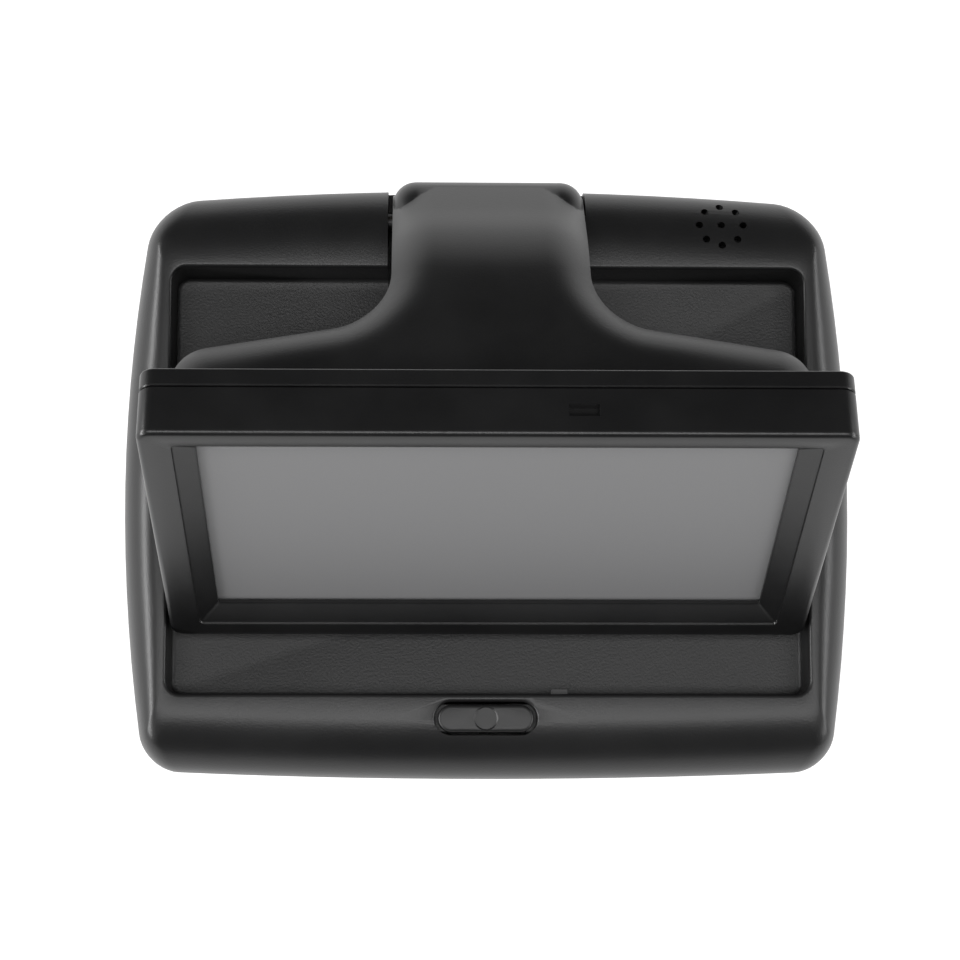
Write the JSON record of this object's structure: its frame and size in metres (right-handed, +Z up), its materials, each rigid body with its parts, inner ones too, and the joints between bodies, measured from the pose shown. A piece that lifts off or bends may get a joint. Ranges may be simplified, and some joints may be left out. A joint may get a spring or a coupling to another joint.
{
  "type": "fold-flat dashboard display",
  "caption": "Low dashboard base with a recess, a hinged T-shaped arm and a small tilting wide screen, a release button and a beeper grille.",
  "frame": {"origin": "bottom centre of the base, on the underside of its adhesive pad", "axes": "+Z up; the screen faces -Y; +X is to the right of someone who looks at the screen"},
  "size_m": [0.1316, 0.1081, 0.0785],
  "materials": {
    "base_black": "charcoal-black moulded plastic with a fine spark grain",
    "arm_black": "satin black moulded plastic",
    "screen_black": "satin black moulded plastic with a very fine grain",
    "button_black": "satin black moulded plastic",
    "latch_black": "plain black acetal",
    "display_grey": "unlit display, even mid grey with an anti-glare front",
    "backlight_white": "white reflector sheet and frame",
    "circuit_board": "green solder mask",
    "plated_steel": "zinc-plated steel",
    "blackened_steel": "black-oxide steel",
    "turned_brass": "turned brass",
    "inlet_rubber": "black moulded rubber",
    "foam_pad": "black foam tape with a release liner",
    "buzzer_black": "black moulded plastic"
  },
  "bodies": {
    "base": {"base_cover": "base_black", "bottom_plate": "base_black", "adhesive_pad": "foam_pad", "main_board": "circuit_board", "buzzer": "buzzer_black", "cable_inlet_bush": "inlet_rubber", "base_screw_1": "plated_steel", "base_screw_2": "plated_steel", "base_screw_3": "plated_steel", "base_screw_4": "plated_steel", "arm_hinge_pin": "blackened_steel", "button_spring": "plated_steel", "latch_spring": "plated_steel"},
    "arm": {"arm_shell": "arm_black", "arm_under_cover": "arm_black", "arm_screw_1": "plated_steel", "arm_screw_2": "plated_steel", "arm_screw_3": "plated_steel", "arm_screw_4": "plated_steel", "arm_hinge_sleeve": "turned_brass", "screen_hinge_pin_left": "blackened_steel", "screen_hinge_pin_right": "blackened_steel"},
    "screen": {"screen_front_shell": "screen_black", "screen_rear_shell": "screen_black", "display_glass": "display_grey", "backlit_panel": "backlight_white", "driver_board": "circuit_board", "screen_screw_1": "plated_steel", "screen_screw_2": "plated_steel", "screen_screw_3": "plated_steel", "screen_screw_4": "plated_steel", "screen_hinge_bush_left": "turned_brass", "screen_hinge_bush_right": "turned_brass"},
    "button": {"release_button": "button_black"},
    "latch": {"latch_slider": "latch_black"}
  },
  "joints": [
    {"name": "arm_hinge", "type": "hinge", "parent": "base", "child": "arm", "pos_m": [0, 0.0466, 0.013], "axis": [-1, 0, 0], "range_deg": [0, 20]},
    {"name": "screen_hinge", "type": "hinge", "parent": "arm", "child": "screen", "pos_m": [0, 0.0007, 0.04438], "axis": [1, 0, 0], "range_deg": [-15, 7]},
    {"name": "button_press", "type": "slide", "parent": "base", "child": "button", "axis": [0, 0, -1], "range_m": [0, 0.001], "stiffness_N_per_m": 300, "springref_m": -0.0008, "deforming": ["button_spring"]},
    {"name": "latch_slide", "type": "slide", "parent": "base", "child": "latch", "axis": [0, -1, 0], "range_m": [0, 0.001], "stiffness_N_per_m": 200, "springref_m": -0.0008, "deforming": ["latch_spring"]}
  ],
  "couplings": [
    {"joint": "latch_slide", "follows": "button_press", "ratio": 1}
  ]
}
